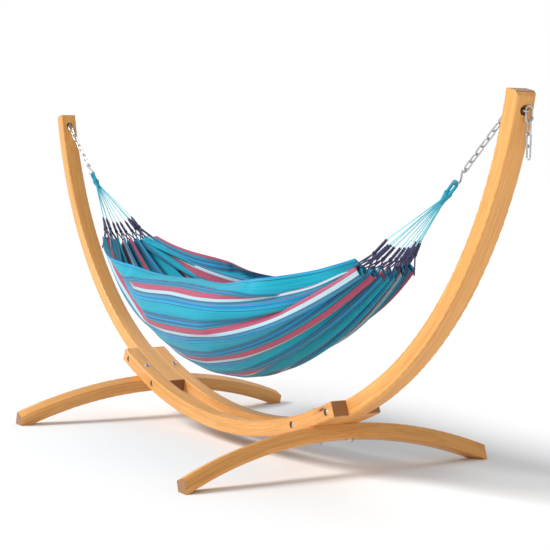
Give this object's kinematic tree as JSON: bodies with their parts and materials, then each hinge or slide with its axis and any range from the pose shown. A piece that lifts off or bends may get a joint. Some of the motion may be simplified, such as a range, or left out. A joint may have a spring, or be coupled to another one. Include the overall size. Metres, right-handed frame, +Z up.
{
  "type": "hammock with stand",
  "caption": "Curved wooden stand with two arms, paired runners and arched feet; a striped cloth hammock hangs between the arm tips on chains, hooks, rope eyes and cords.",
  "frame": {"origin": "on the floor under the middle of the stand", "axes": "+X along the stand from arm to arm, +Y to the back, +Z up"},
  "size_m": [3.4008, 1.2, 1.2687],
  "materials": {
    "timber": "oiled larch, satin",
    "bolts": "zinc plated",
    "washers": "zinc plated",
    "chain": "bright zinc plated wire",
    "snap_hook": "bright zinc plated wire",
    "eye_rope": "tightly wound cotton",
    "cords": "twisted cotton",
    "braids": "braided cotton",
    "cloth": "woven cotton in lengthwise stripes",
    "label": "woven tape"
  },
  "bodies": {
    "stand": {"arm_left": "timber", "arm_right": "timber", "runner_front": "timber", "runner_back": "timber", "foot_left": "timber", "foot_right": "timber", "joint_bolts_left": "bolts", "joint_bolts_right": "bolts", "joint_washers_left": "washers", "joint_washers_right": "washers", "joint_nuts_left": "bolts", "joint_nuts_right": "bolts", "foot_bolts_left": "bolts", "foot_bolts_right": "bolts", "foot_washers_left": "washers", "foot_washers_right": "washers", "foot_nuts_left": "bolts", "foot_nuts_right": "bolts", "hole_links_left": "chain", "hole_links_right": "chain", "snap_hook_left": "snap_hook", "snap_hook_right": "snap_hook", "gate_rivet_left": "bolts", "gate_rivet_right": "bolts"},
    "hammock": {"chain_left": "chain", "chain_right": "chain", "hook_left": "chain", "hook_right": "chain", "eye_left": "eye_rope", "eye_right": "eye_rope", "cords_left": "cords", "cords_right": "cords", "braids_left": "braids", "braids_right": "braids", "cloth": "cloth", "label_tab": "label"},
    "tail_left": {"chain_tail_left": "chain"},
    "tail_right": {"chain_tail_right": "chain"},
    "gate_left": {"gate_left": "snap_hook"},
    "gate_right": {"gate_right": "snap_hook"}
  },
  "joints": [
    {"name": "hammock_swing", "type": "hinge", "parent": "stand", "child": "hammock", "pos_m": [0, 0, 1.21831], "axis": [1, 0, 0], "range_deg": [-20, 20]},
    {"name": "tail_swing_left", "type": "hinge", "parent": "stand", "child": "tail_left", "pos_m": [-1.69044, 0.01075, 1.1812], "axis": [1, 0, 0], "range_deg": [-35, 35]},
    {"name": "gate_open_left", "type": "hinge", "parent": "stand", "child": "gate_left", "pos_m": [-1.69044, 0.0215, 1.1847], "axis": [1, 0, 0], "range_deg": [0, 20], "stiffness_Nm_per_rad": 0.05, "springref_deg": -11.46},
    {"name": "tail_swing_right", "type": "hinge", "parent": "stand", "child": "tail_right", "pos_m": [1.69044, 0.01075, 1.1812], "axis": [1, 0, 0], "range_deg": [-35, 35]},
    {"name": "gate_open_right", "type": "hinge", "parent": "stand", "child": "gate_right", "pos_m": [1.69044, 0.0215, 1.1847], "axis": [1, 0, 0], "range_deg": [0, 20], "stiffness_Nm_per_rad": 0.05, "springref_deg": -11.46}
  ]
}
